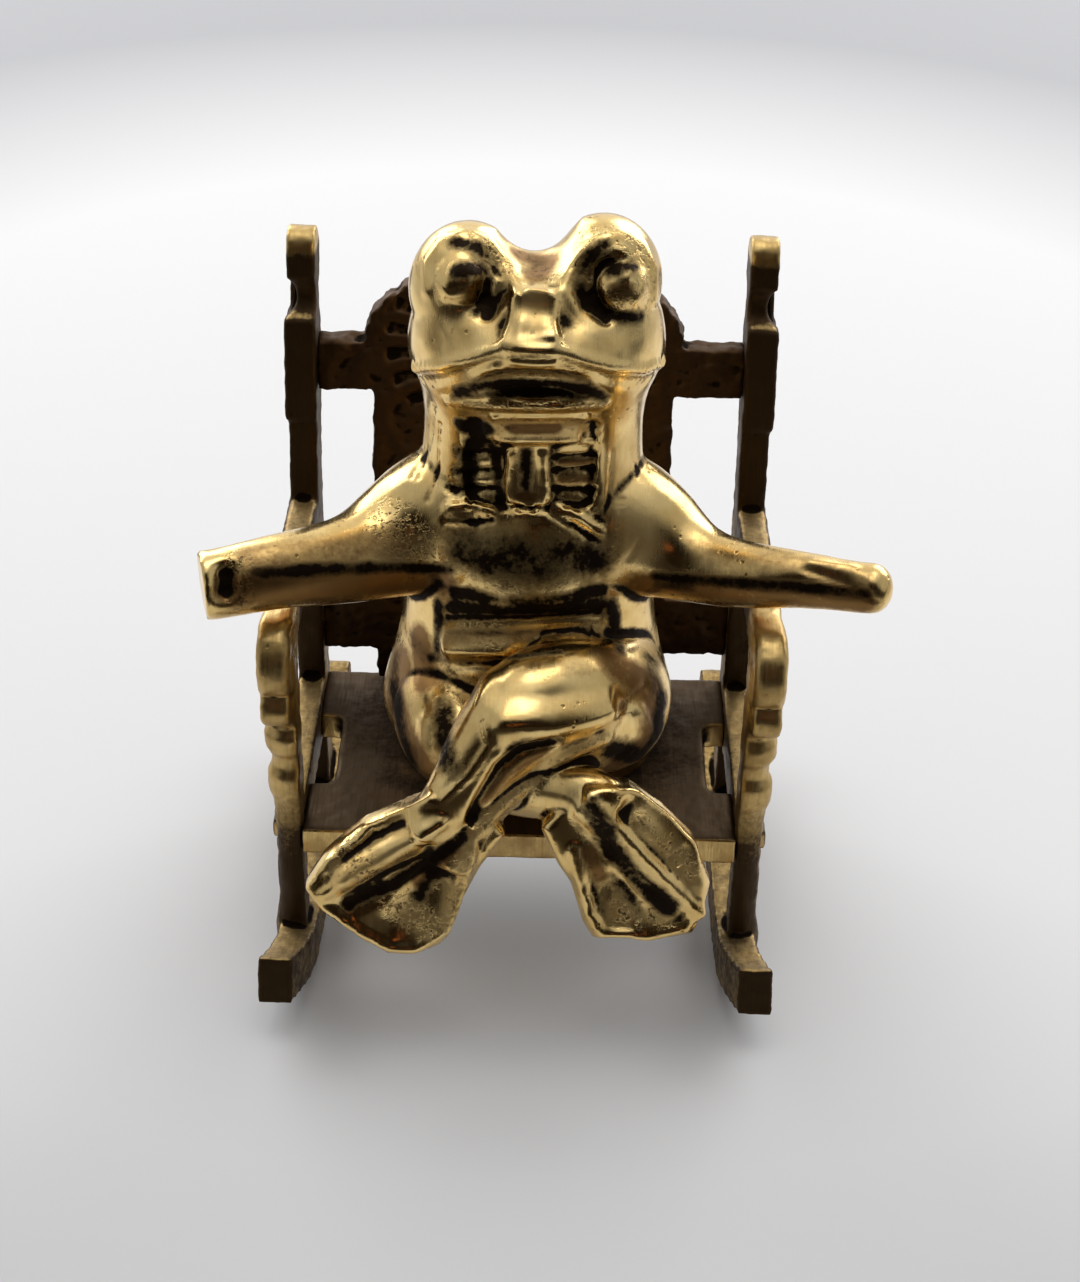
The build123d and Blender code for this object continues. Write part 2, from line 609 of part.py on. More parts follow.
ARM_FLAT_SHARE = 0.92
right_places = arm_points_of(RIGHT_SECTION_SHARES, RIGHT_REACH, 1)
left_places = arm_points_of(LEFT_SECTION_SHARES, LEFT_REACH, -1)
frog += limb(right_places, ARM_FLAT_SHARE, (0, 0, 1))
frog += limb(left_places, ARM_FLAT_SHARE, (0, 0, 1))
tip, tip_radius = right_places[-1]
frog += ball(tuple(tip), tip_radius * 0.8, tip_radius * ARM_FLAT_SHARE, tip_radius)

# Crossed legs: the right thigh lies over the left one
LEG_BASE = FROG_BASE
OVER_LEG_SHARES = [
    (0.46, 0.02, 1.25, 0.90),
    (0.56, 0.24, 1.66, 0.98),
    (0.35, 0.48, 1.96, 0.94),
    (-0.04, 0.64, 2.04, 0.80),
    (-0.27, 0.76, 1.66, 0.60),
    (-0.47, 0.88, 1.20, 0.43),
    (-0.64, 0.96, 0.84, 0.36),
]
SHIN_SHARES = [
    (0.60, 0.46, 1.60, 0.42),
    (0.36, 0.60, 1.58, 0.34),
    (0.08, 0.70, 1.41, 0.285),
    (-0.21, 0.825, 1.08, 0.27),
    (-0.41, 0.93, 0.72, 0.27),
    (-0.48, 1.02, 0.36, 0.24),
]
UNDER_LEG_SHARES = [
    (-0.46, 0.02, 1.08, 0.90),
    (-0.50, 0.26, 1.14, 0.86),
    (-0.28, 0.50, 1.08, 0.66),
    (0.10, 0.70, 1.12, 0.48),
    (0.42, 0.84, 1.24, 0.42),
    (0.62, 0.93, 1.10, 0.38),
]


def leg_points_of(table):
    places = []
    for side_share, forward_share, rise_share, radius_share in table:
        x = FROG_SHIFT + side_share * LEG_SPAN
        y = -forward_share * LEG_FORWARD
        z = LEG_BASE + rise_share * LEG_THICK
        places.append((Vector(x, y, z), radius_share * LEG_THICK))
    return places


LEG_FLAT_SHARE = 0.86
frog += limb(leg_points_of(OVER_LEG_SHARES), LEG_FLAT_SHARE, (0, 0, 1))
frog += limb(leg_points_of(SHIN_SHARES), 1, (0, 0, 1))
frog += limb(leg_points_of(UNDER_LEG_SHARES), LEG_FLAT_SHARE, (0, 0, 1))

# Webbed feet: thick fans that hang in front of the seat, each with a ridge and two hollows
LEFT_FOOT_SHARES = [
    (-0.47, 0.985),
    (-0.86, 0.80),
    (-1.095, 0.58),
    (-1.20, 0.395),
    (-1.115, 0.27),
    (-0.88, 0.09),
    (-0.72, 0.0),
    (-0.575, 0.0),
    (-0.43, 0.065),
    (-0.38, 0.12),
    (-0.295, 0.375),
    (-0.205, 0.555),
    (-0.07, 0.75),
    (-0.20, 0.95),
]
RIGHT_FOOT_SHARES = [
    (0.33, 1.06),
    (0.60, 1.06),
    (0.795, 0.92),
    (0.975, 0.745),
    (1.085, 0.475),
    (1.055, 0.31),
    (1.0, 0.17),
    (0.785, 0.125),
    (0.435, 0.13),
    (0.37, 0.235),
    (0.30, 0.47),
    (0.23, 0.565),
    (0.12, 0.80),
]
LEFT_RIDGE_SHARES = [(-0.30, 0.88), (-0.62, 0.70), (-1.08, 0.37)]
RIGHT_RIDGE_SHARES = [(0.36, 0.98), (0.62, 0.72), (1.00, 0.30)]
LEFT_HOLLOW_SHARES = [(-0.82, 0.65, 0.33, 0.12), (-0.53, 0.36, 0.38, 0.17)]
RIGHT_HOLLOW_SHARES = [(0.86, 0.64, 0.29, 0.11), (0.55, 0.37, 0.27, 0.17)]
LEFT_HOLLOW_TURNS = (38, 55)
RIGHT_HOLLOW_TURNS = (-48, -52)
foot_frame = Pos(0, -FOOT_FORWARD, FOOT_BASE) * Rot(90 - FOOT_LEAN, 0, 0)


def foot(outline_shares, ridge_shares, hollow_shares, hollow_turns):
    points = [(a * FOOT_WIDTH, b * FOOT_LENGTH) for a, b in outline_shares]
    fan = extrude(make_face(Polyline(*points, close=True)), amount=-FOOT_THICK)
    fan = chamfer(fan.faces().sort_by(Axis.Z)[-1].edges(), FOOT_THICK / 5)
    for (a, b, long_share, wide_share), turn in zip(hollow_shares, hollow_turns):
        place = Pos(a * FOOT_WIDTH, b * FOOT_LENGTH, FOOT_THICK / 4) * Rot(0, 0, turn)
        fan -= place * ball((0, 0, 0), long_share * FOOT_LENGTH, wide_share * FOOT_LENGTH, FOOT_THICK / 2)
    stations = [Vector(a * FOOT_WIDTH, b * FOOT_LENGTH, -FOOT_THICK / 4) for a, b in ridge_shares]
    widths = (FOOT_RIDGE * 1.2, FOOT_RIDGE, FOOT_RIDGE * 0.6)
    fan += limb(list(zip(stations, widths)), 1, (0, 0, 1))
    return foot_frame * fan


frog += foot(LEFT_FOOT_SHARES, LEFT_RIDGE_SHARES, LEFT_HOLLOW_SHARES, LEFT_HOLLOW_TURNS)
frog += foot(RIGHT_FOOT_SHARES, RIGHT_RIDGE_SHARES, RIGHT_HOLLOW_SHARES, RIGHT_HOLLOW_TURNS)
frog -= block(-INNER_HALF, INNER_HALF, -SEAT_FRONT - TENON_PROUD, SEAT_REAR, 0, FROG_BASE)

pieces = {
    "frog": frog,
    "side_frame_left": left_frame,
    "side_frame_right": right_frame,
    "seat": seat,
    "back_panel": back_panel,
}
os.makedirs("parts", exist_ok=True)
for name, shape in pieces.items():
    export_step(Pos(0, -ROCKER_BALANCE, 0) * shape, f"parts/{name}.step")
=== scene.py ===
import math

import bpy
import numpy as np
from mathutils import Matrix, Vector
from mathutils.bvhtree import BVHTree


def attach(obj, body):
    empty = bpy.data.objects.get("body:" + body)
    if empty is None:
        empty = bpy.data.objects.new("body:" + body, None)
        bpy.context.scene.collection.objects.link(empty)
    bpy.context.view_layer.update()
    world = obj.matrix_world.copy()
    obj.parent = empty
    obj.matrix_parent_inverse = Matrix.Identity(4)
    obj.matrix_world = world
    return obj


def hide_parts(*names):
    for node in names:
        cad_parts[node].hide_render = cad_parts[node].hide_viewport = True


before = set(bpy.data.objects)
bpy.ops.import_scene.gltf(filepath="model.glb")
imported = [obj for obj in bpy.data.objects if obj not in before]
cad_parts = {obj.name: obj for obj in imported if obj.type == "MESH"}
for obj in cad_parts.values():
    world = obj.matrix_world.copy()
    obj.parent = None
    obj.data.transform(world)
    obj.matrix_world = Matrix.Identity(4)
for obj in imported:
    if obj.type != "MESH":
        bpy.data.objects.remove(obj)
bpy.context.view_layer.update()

# ---------------------------------------------------------------- the view
# A hand-held camera in front of the ornament, looking down on it, with its
# long side upright and tilted by a degree or so.
view_place = Vector((0.0019, -0.21533, 0.1804))
look_down = math.radians(33.5)
hand_roll = math.radians(1.4)
picture_wide, picture_high = 1080, 1282
focal_px = 2180
film_mm = 36
bpy.ops.object.select_all(action="DESELECT")
bpy.ops.object.camera_add(location=view_place)
camera = bpy.context.object
camera.matrix_world = (
    Matrix.Translation(view_place)
    @ Matrix.Rotation(math.pi / 2 - look_down, 4, "X")
    @ Matrix.Rotation(hand_roll, 4, "Z")
)
camera.data.sensor_width = film_mm
camera.data.lens = film_mm * focal_px / picture_high
camera.data.clip_start = 0.01
camera.data.clip_end = 20
bpy.context.scene.camera = camera
bpy.context.scene.view_settings.view_transform = "Standard"


def line_of_sight(px, py):
    """Direction from the camera through a point of the picture."""
    ray = Vector(((px - picture_wide / 2) / focal_px, (picture_high / 2 - py) / focal_px, -1))
    return (camera.matrix_world.to_3x3() @ ray).normalized()


# ---------------------------------------------------------------- floor
# A sheet of pale card under the ornament, with a painted pool of light on it,
# lightest just behind the ornament. A painted dark reflection lies in front of
# the card, seen only in the polished brass.


def reckon(tree, kind, a, b, clamp=False):
    """A sum, product or larger of two values; each is a number or another node's output."""
    step = tree.nodes.new("ShaderNodeMath")
    step.operation = kind
    step.use_clamp = clamp
    for value, socket in ((a, step.inputs[0]), (b, step.inputs[1])):
        if isinstance(value, (int, float)):
            socket.default_value = value
        else:
            tree.links.new(value, socket)
    return step.outputs[0]


def spread(tree, value, low, high, to_low=0.0, to_high=1.0, soft=False):
    """A value between low and high carried over to another range."""
    share = tree.nodes.new("ShaderNodeMapRange")
    share.interpolation_type = "SMOOTHSTEP" if soft else "LINEAR"
    share.inputs["From Min"].default_value = low
    share.inputs["From Max"].default_value = high
    share.inputs["To Min"].default_value = to_low
    share.inputs["To Max"].default_value = to_high
    tree.links.new(value, share.inputs["Value"])
    return share.outputs[0]


def blend(tree, share, below, above):
    """Two colours mixed by a share; each is a plain colour or another node's output."""
    mix = tree.nodes.new("ShaderNodeMix")
    mix.data_type = "RGBA"
    tree.links.new(share, mix.inputs[0])
    below_socket, above_socket = mix.inputs[6], mix.inputs[7]
    for colour, socket in ((below, below_socket), (above, above_socket)):
        if isinstance(colour, tuple):
            socket.default_value = (*colour, 1)
        else:
            tree.links.new(colour, socket)
    return mix.outputs[2]


painted_pool_lit, painted_pool_dim, painted_dark_reflection = (0.68, 0.675, 0.67), (0.38, 0.38, 0.39), (0.014, 0.009, 0.006)
painted_pool_middle, painted_pool_inner_radius, painted_pool_outer_radius = (0.0, 0.10, 0.0), 0.15, 0.25
dark_reflection_starts, dark_reflection_full = -0.070, -0.105
bpy.ops.object.select_all(action="DESELECT")
bpy.ops.mesh.primitive_plane_add(size=5, location=(0, 0, 0))
floor = bpy.context.object
floor.name = "pale_card"
bpy.ops.object.transform_apply(location=True, rotation=True, scale=True)
card = bpy.data.materials.new("matt_card")
card.use_nodes = True
card_tree = card.node_tree
card_place = card_tree.nodes.new("ShaderNodeTexCoord").outputs["Object"]
# painted pool of light: the card is lightest round a point just behind the ornament and darker further out
away_from_painted_pool = card_tree.nodes.new("ShaderNodeVectorMath")
away_from_painted_pool.operation = "DISTANCE"
away_from_painted_pool.inputs[1].default_value = painted_pool_middle
card_tree.links.new(card_place, away_from_painted_pool.inputs[0])
painted_pool_share = spread(card_tree, away_from_painted_pool.outputs["Value"], painted_pool_inner_radius, painted_pool_outer_radius)
card_colour = blend(card_tree, painted_pool_share, painted_pool_lit, painted_pool_dim)
apart = card_tree.nodes.new("ShaderNodeSeparateXYZ")
card_tree.links.new(card_place, apart.inputs[0])
# painted dark reflection: in front of the ornament the card turns dark brown, for glossy rays only
dark_reflection_share = spread(card_tree, apart.outputs["Y"], dark_reflection_starts, dark_reflection_full, soft=True)
seen_in_brass = card_tree.nodes.new("ShaderNodeLightPath").outputs["Is Glossy Ray"]
dark_reflection_share = reckon(card_tree, "MULTIPLY", dark_reflection_share, seen_in_brass)
card_surface = card_tree.nodes["Principled BSDF"]
card_colour = blend(card_tree, dark_reflection_share, card_colour, painted_dark_reflection)
card_tree.links.new(card_colour, card_surface.inputs["Base Color"])
card_surface.inputs["Roughness"].default_value = 0.75
card_surface.inputs["Specular IOR Level"].default_value = 0.2
floor.data.materials.append(card)

# ---------------------------------------------------------------- light
# Two broad windows behind the ornament, left and right, in a pale room, with
# the darker side of the room where the picture is taken from.
window_far, window_wide, window_high, window_power = 0.80, 0.65, 0.50, 3.1
for across, window_name in ((-0.66, "left_window"), (0.66, "right_window")):
    away = Vector((across, 0.78, 0.56)).normalized()
    bpy.ops.object.select_all(action="DESELECT")
    bpy.ops.object.light_add(type="AREA", location=(0, 0, 0))
    window = bpy.context.object
    window.name = window_name
    window.data.shape = "RECTANGLE"
    window.data.size = window_wide
    window.data.size_y = window_high
    window.data.energy = window_power
    turned = away.to_track_quat("Z", "Y").to_matrix().to_4x4()
    window.matrix_world = Matrix.Translation(away * window_far) @ turned

world = bpy.data.worlds.new("pale_room")
bpy.context.scene.world = world
world.use_nodes = True
room_tree = world.node_tree
room_direction = room_tree.nodes.new("ShaderNodeTexCoord").outputs["Generated"]


def room_patch(toward, edge, middle):
    """Share of a round patch of the room seen in one direction, 0 outside edge and 1 inside middle."""
    along = room_tree.nodes.new("ShaderNodeVectorMath")
    along.operation = "DOT_PRODUCT"
    room_tree.links.new(room_direction, along.inputs[0])
    along.inputs[1].default_value = Vector(toward).normalized()
    edge_share, middle_share = math.cos(math.radians(edge)), math.cos(math.radians(middle))
    return spread(room_tree, along.outputs["Value"], edge_share, middle_share, soft=True)


room = (0.46, 0.47, 0.49)
for toward, edge, middle, colour in (
    # the dark side of the room, and the pale wall and ceiling behind
    ((0, -1, 0.15), 68, 36, (0.012, 0.008, 0.005)),
    ((0, 1, 0.25), 75, 35, (1.0, 1.01, 1.04)),
    ((0, 0.10, 1), 44, 28, (0.85, 0.85, 0.87)),
    # the brightest part of the ceiling, and a black and a small brown patch high in front
    ((0.02, 0.06, 1), 22, 12, (2.6, 2.6, 2.6)),
    ((0.02, -1, 0.70), 22, 16, (0.004, 0.004, 0.005)),
    ((0.06, -1, 0.42), 7, 5, (0.30, 0.11, 0.05)),
):
    room = blend(room_tree, room_patch(toward, edge, middle), room, colour)
seen_by_camera = room_tree.nodes.new("ShaderNodeLightPath").outputs["Is Camera Ray"]
room = blend(room_tree, seen_by_camera, room, (0.84, 0.85, 0.88))
sky = room_tree.nodes["Background"]
room_tree.links.new(room, sky.inputs["Color"])
sky.inputs["Strength"].default_value = 1.0

# ---------------------------------------------------------------- side frames
# Each side frame is one flat brass casting: rocker, front post with turned
# beads, arm with its scroll, seat rail and rear post. It is sand cast, then
# filed flat on its faces, and the edges keep the skin of the mould.


def mould_copy(node, name, voxel, relax):
    """A casting taken from the node's shape, with the soft edges that a sand mould leaves."""
    bpy.ops.object.select_all(action="DESELECT")
    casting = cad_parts[node].copy()
    casting.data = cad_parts[node].data.copy()
    casting.animation_data_clear()
    for key in list(casting.keys()):
        del casting[key]
    casting.parent = None
    casting.name = name
    casting.data.name = name
    casting.data.materials.clear()
    bpy.context.collection.objects.link(casting)
    casting.matrix_world = Matrix.Identity(4)
    casting.select_set(True)
    bpy.context.view_layer.objects.active = casting
    bpy.ops.object.mode_set(mode="EDIT")
    bpy.ops.mesh.select_all(action="SELECT")
    bpy.ops.mesh.remove_doubles(threshold=1e-6)
    bpy.ops.object.mode_set(mode="OBJECT")
    bpy.ops.object.modifier_add(type="REMESH")
    remesh = casting.modifiers[-1]
    remesh.mode = "VOXEL"
    remesh.voxel_size = voxel
    remesh.use_smooth_shade = True
    bpy.ops.object.modifier_apply(modifier=remesh.name)
    bpy.ops.object.modifier_add(type="SMOOTH")
    soften = casting.modifiers[-1]
    soften.factor = 0.5
    soften.iterations = relax
    bpy.ops.object.modifier_apply(modifier=soften.name)
    return casting


def mould_sand(casting, grain, height):
    """Uneven skin from the sand: a slow displacement along the surface."""
    sand = bpy.data.textures.new(casting.name + "_sand", "CLOUDS")
    sand.noise_scale = grain
    sand.noise_depth = 2
    bpy.ops.object.select_all(action="DESELECT")
    casting.select_set(True)
    bpy.context.view_layer.objects.active = casting
    bpy.ops.object.modifier_add(type="DISPLACE")
    swell = casting.modifiers[-1]
    swell.texture = sand
    swell.texture_coords = "LOCAL"
    swell.strength = height
    swell.mid_level = 0.5
    bpy.ops.object.modifier_apply(modifier=swell.name)


def skin_points(casting):
    """The casting's points, their normals and its edges as arrays."""
    mesh = casting.data
    points = np.empty(len(mesh.vertices) * 3, np.float32)
    mesh.vertices.foreach_get("co", points)
    normals = np.empty(len(mesh.vertices) * 3, np.float32)
    mesh.vertex_normals.foreach_get("vector", normals)
    edges = np.empty(len(mesh.edges) * 2, np.int32)
    mesh.edges.foreach_get("vertices", edges)
    return points.reshape(-1, 3).astype(float), normals.reshape(-1, 3).astype(float), edges.reshape(-1, 2)


def even_out(values, edges, rounds):
    """Values carried over to the neighbours again and again."""
    count = len(values)
    a, b = edges[:, 0], edges[:, 1]
    linked = np.bincount(a, minlength=count) + np.bincount(b, minlength=count)
    linked = np.maximum(linked, 1)
    columns = values if values.ndim == 2 else values[:, None]
    for _ in range(rounds):
        fresh = np.empty_like(columns)
        for axis in range(columns.shape[1]):
            total = np.bincount(a, columns[b, axis], count) + np.bincount(b, columns[a, axis], count)
            fresh[:, axis] = 0.5 * columns[:, axis] + 0.5 * total / linked
        columns = fresh
    return columns if values.ndim == 2 else columns[:, 0]


def soft_step(share):
    """A straight rise from 0 to 1 with its two ends rounded off."""
    return share * share * (3 - 2 * share)


def rising(values, low, high):
    """0 below low, 1 above high and a soft step between; low may be the larger."""
    return soft_step(np.clip((values - low) / (high - low), 0, 1))


def keep_share(casting, name, share, least=0):
    """A share for each point, kept on the casting for its finish."""
    kept = casting.data.attributes.new(name, "FLOAT", "POINT")
    kept.data.foreach_set("value", np.clip(share, least, 1).astype(np.float32))


def mark_hollows(casting, fine_rounds=8, broad_rounds=60):
    """How far each point lies in a hollow or on a ridge, kept on the casting for its dark oxide."""
    fine_depth, broad_depth = 0.00006, 0.0005
    points, normals, edges = skin_points(casting)
    near = even_out(points, edges, fine_rounds)
    far = even_out(near, edges, broad_rounds)
    for name, smooth, depth in (("hollow_fine", near, fine_depth), ("hollow_broad", far, broad_depth)):
        sunk = np.einsum("ij,ij->i", smooth - points, normals)
        keep_share(casting, name, even_out(sunk, edges, 2) / depth, least=-1)


def brass_finish(name, bright, worn, patina, oxide, roughness, oxide_share, marks, pits):
    """Cast brass: filed and polished metal, brown oxide in the hollows, casting pits and file marks."""
    wave_scale, cloud_scale, pit_scale, speck_scale = 150, 260, 1100, 1500
    relief_strength, relief_height = 0.55, 0.00022
    finish = bpy.data.materials.new(name)
    finish.use_nodes = True
    tree = finish.node_tree
    metal = tree.nodes["Principled BSDF"]
    place = tree.nodes.new("ShaderNodeTexCoord").outputs["Object"]

    def grain(scale, detail, rough, stretch=None, turn=None):
        noise = tree.nodes.new("ShaderNodeTexNoise")
        noise.inputs["Scale"].default_value = scale
        noise.inputs["Detail"].default_value = detail
        noise.inputs["Roughness"].default_value = rough
        drawn_out = place
        if stretch:
            mapping = tree.nodes.new("ShaderNodeMapping")
            mapping.inputs["Rotation"].default_value = turn
            mapping.inputs["Scale"].default_value = stretch
            tree.links.new(place, mapping.inputs["Vector"])
            drawn_out = mapping.outputs[0]
        tree.links.new(drawn_out, noise.inputs["Vector"])
        return noise.outputs["Fac"]

    def kept(share_name):
        share = tree.nodes.new("ShaderNodeAttribute")
        share.attribute_name = share_name
        return share.outputs["Fac"]

    def reach(value, low, high, to_low=0.0, to_high=1.0):
        return spread(tree, value, low, high, to_low, to_high)

    def plus(a, b, clamp=False):
        return reckon(tree, "ADD", a, b, clamp)

    def times(a, b):
        return reckon(tree, "MULTIPLY", a, b)

    def larger(a, b, clamp=False):
        return reckon(tree, "MAXIMUM", a, b, clamp)

    clouds = grain(cloud_scale, 4, 0.6)
    specks = grain(speck_scale, 3, 0.65)
    # oxide where the surface is hollow, and where the kept share of oxide and painted shade asks for it,
    # with a ragged border
    hollow = plus(times(kept("hollow_fine"), 0.8), times(kept("hollow_broad"), 0.9))
    hollow = larger(hollow, times(kept("oxide_and_painted_dark"), 1.15))
    hollow = plus(hollow, reach(clouds, 0.3, 0.7, -0.20, 0.20))
    hollow = plus(hollow, reach(specks, 0.3, 0.7, -0.12, 0.12))
    dark = reach(hollow, 0.45 - oxide_share, 1.05 - oxide_share)
    # pits left by the sand
    pit = tree.nodes.new("ShaderNodeTexVoronoi")
    pit.inputs["Scale"].default_value = pit_scale
    tree.links.new(place, pit.inputs["Vector"])
    grit = kept("grit")
    pitted_places = plus(reach(clouds, 0.62 - pits, 0.74 - pits), times(grit, 0.5), clamp=True)
    pitted = times(reach(pit.outputs["Distance"], 0.16, 0.30, 1.0, 0.0), pitted_places)
    pitted = larger(pitted, times(reach(specks, 0.52, 0.62), grit))
    # file and polishing marks
    lines = grain(1.0, 3, 0.6, (4200, 260, 260), (0.2, 0.35, 0.9))
    cross = grain(1.0, 2, 0.6, (300, 3600, 300), (0.5, -0.3, 0.5))
    filed = kept("filed")
    # colour: bright and worn metal, brown patina where it isn't rubbed, oxide over both
    tint = blend(tree, reach(clouds, 0.35, 0.65), bright, worn)
    tint = blend(tree, times(reach(lines, 0.45, 0.7), 0.35 * marks), tint, worn)
    polish = plus(kept("rubbed"), reach(clouds, 0.3, 0.7, -0.16, 0.16))
    polish = plus(polish, reach(specks, 0.3, 0.7, -0.10, 0.10))
    polish = reach(polish, 0.25, 0.75)
    tint = blend(tree, polish, patina, tint)
    tint = blend(tree, larger(dark, times(pitted, 0.8), clamp=True), tint, oxide)
    tree.links.new(tint, metal.inputs["Base Color"])
    tree.links.new(reach(filed, 0.0, 1.0, 1.0, 0.78), metal.inputs["Metallic"])
    # how rough it is: rougher where dark, unrubbed or filed
    rough = plus(times(dark, 0.42), reach(clouds, 0.3, 0.7, roughness * 0.8, roughness * 1.35))
    rough = plus(rough, reach(polish, 0.0, 1.0, 0.22, 0.0))
    rough = plus(rough, times(filed, 0.20))
    rough = plus(rough, times(reach(lines, 0.4, 0.7), 0.12 * marks), clamp=True)
    tree.links.new(rough, metal.inputs["Roughness"])
    # relief: slow waves, a crust on the oxide, file marks and sunk pits
    height = times(grain(wave_scale, 2, 0.5), 0.6)
    height = plus(height, times(specks, plus(times(dark, 0.55), 0.02)))
    height = plus(height, times(lines, 0.10 * marks))
    height = plus(height, times(specks, times(filed, 0.16)))
    height = plus(height, times(cross, 0.05 * marks))
    height = reckon(tree, "SUBTRACT", height, times(pitted, 0.55))
    relief = tree.nodes.new("ShaderNodeBump")
    relief.inputs["Strength"].default_value = relief_strength
    relief.inputs["Distance"].default_value = relief_height
    tree.links.new(height, relief.inputs["Height"])
    tree.links.new(relief.outputs["Normal"], metal.inputs["Normal"])
    return finish


frame_metal = brass_finish(
    "filed_brass",
    bright=(0.64, 0.45, 0.18),
    worn=(0.42, 0.28, 0.10),
    patina=(0.060, 0.036, 0.017),
    oxide=(0.02, 0.012, 0.007),
    roughness=0.32,
    oxide_share=0.10,
    marks=1.2,
    pits=0.02,
)
for side in ("left", "right"):
    casting = mould_copy("side_frame_" + side, side + "_side_frame", voxel=0.00034, relax=3)
    mould_sand(casting, grain=0.0016, height=0.00022)
    mark_hollows(casting)
    places, facing_out, _ = skin_points(casting)
    ahead, up = places[:, 1], places[:, 2]
    scroll_and_beads = rising(ahead, -0.007, -0.011) * rising(up, 0.012, 0.034)
    finial = rising(up, 0.0765, 0.079)
    broad_faces = (0.10 + 0.22 * rising(up, 0.056, 0.040)) * rising(np.abs(facing_out[:, 0]), 0.75, 0.95)
    upper_edges = 0.5 * rising(facing_out[:, 2], 0.6, 0.9)
    keep_share(casting, "rubbed", np.maximum.reduce((scroll_and_beads, finial, broad_faces, upper_edges)))
    casting.data.materials.append(frame_metal)
    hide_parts("side_frame_" + side)
    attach(casting, "chair")

# ---------------------------------------------------------------- seat
# The seat is a cast plate with four lugs, whose tenons go through the side
# frames and are peened over outside. Its top is tarnished dark brown, with
# painted shade round the place where the frog sits.
seat_metal = brass_finish(
    "tarnished_brass",
    bright=(0.66, 0.46, 0.18),
    worn=(0.40, 0.26, 0.10),
    patina=(0.066, 0.042, 0.022),
    oxide=(0.022, 0.014, 0.009),
    roughness=0.26,
    oxide_share=0.04,
    marks=1.4,
    pits=-0.06,
)
seat = mould_copy("seat", "seat_plate", voxel=0.00032, relax=2)
mould_sand(seat, grain=0.0014, height=0.00018)
mark_hollows(seat)
places, facing_out, _ = skin_points(seat)
front_edge = rising(-facing_out[:, 1], 0.6, 0.9)
from_sitting_place = np.hypot(places[:, 0] * 0.75, places[:, 1] - 0.004)
keep_share(seat, "rubbed", front_edge)
# painted shade: darkest under the frog and fading out round the place where it sits
keep_share(seat, "oxide_and_painted_dark", 0.65 * rising(from_sitting_place, 0.022, 0.012))
seat.data.materials.append(seat_metal)
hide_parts("seat")
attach(seat, "chair")

# ---------------------------------------------------------------- back panel
# The back is one rough casting: a splat with slots and a round scalloped
# crest with sunburst ribs, its lugs let into the rear posts.
panel_metal = brass_finish(
    "rough_brass",
    bright=(0.46, 0.30, 0.12),
    worn=(0.24, 0.15, 0.06),
    patina=(0.068, 0.038, 0.018),
    oxide=(0.028, 0.017, 0.009),
    roughness=0.30,
    oxide_share=0.10,
    marks=0.5,
    pits=-0.03,
)
panel = mould_copy("back_panel", "back_casting", voxel=0.00030, relax=1)
mould_sand(panel, grain=0.0009, height=0.00030)
mould_sand(panel, grain=0.0026, height=0.00080)
mark_hollows(panel)
_, facing_out, _ = skin_points(panel)
rear_face = rising(facing_out[:, 1], 0.5, 0.9)
keep_share(panel, "rubbed", 0.55 * rear_face)
panel.data.materials.append(panel_metal)
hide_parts("back_panel")
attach(panel, "chair")

# ---------------------------------------------------------------- frog
# The frog is one solid brass casting, chased and polished by hand. Brown
# oxide stays in the eye sockets, the mouth, the vest and the webs. Painted
# dark reflection lies on the eyeballs, the belly and the lower arms, and
# painted shade beside the ridges of the feet.
frog_metal = brass_finish(
    "polished_brass",
    bright=(0.90, 0.66, 0.28),
    worn=(0.74, 0.50, 0.18),
    patina=(0.27, 0.15, 0.05),
    oxide=(0.022, 0.013, 0.007),
    roughness=0.16,
    oxide_share=0.0,
    marks=0.6,
    pits=0.05,
)
frog = mould_copy("frog", "brass_frog", voxel=0.00039, relax=2)
mould_sand(frog, grain=0.0045, height=0.00012)
points, normals, edges = skin_points(frog)
oxide_and_painted_dark, grit, tarnish_and_painted_brown, filed = (np.zeros(len(points)) for _ in range(4))
skin = BVHTree.FromPolygons(
    [Vector(p) for p in points], [tuple(face.vertices) for face in frog.data.polygons]
)


def on_skin(path):
    """Points and normals on the frog's skin along a line drawn on the picture of its front."""
    picture_points_per_metre, step = 9500, 0.0004
    places, lifts = [], []
    for (x0, y0), (x1, y1) in zip(path, path[1:]):
        count = max(1, int(math.hypot(x1 - x0, y1 - y0) / picture_points_per_metre / step))
        for index in range(count + 1):
            share = index / count
            sight = line_of_sight(x0 + share * (x1 - x0), y0 + share * (y1 - y0))
            hit, lift, _, _ = skin.ray_cast(view_place, sight)
            if hit is not None:
                places.append(hit)
                lifts.append(lift)
    return np.array(places), np.array(lifts)


def near_line(path, wide_mm):
    """Points of the frog near a drawn line: their numbers, their nearness from 0 to 1 and the way out."""
    wide = wide_mm / 1000
    same_side = 0.05
    places, lifts = on_skin(path)
    low, high = places.min(0) - wide, places.max(0) + wide
    close = np.nonzero(((points > low) & (points < high)).all(1))[0]
    gap = np.linalg.norm(points[close, None, :] - places[None, :, :], axis=2)
    nearest = gap.argmin(1)
    gap = gap[np.arange(len(close)), nearest]
    out = lifts[nearest]
    found = (gap < wide) & (np.einsum("ij,ij->i", normals[close], out) > same_side)
    return close[found], 1 - gap[found] / wide, out[found]


def chase(path, wide_mm, lift_mm):
    """A chasing tool led along the line: raises the metal, or sinks it where the lift is negative."""
    found, nearness, out = near_line(path, wide_mm)
    points[found] += out * (soft_step(nearness) * lift_mm / 1000)[:, None]


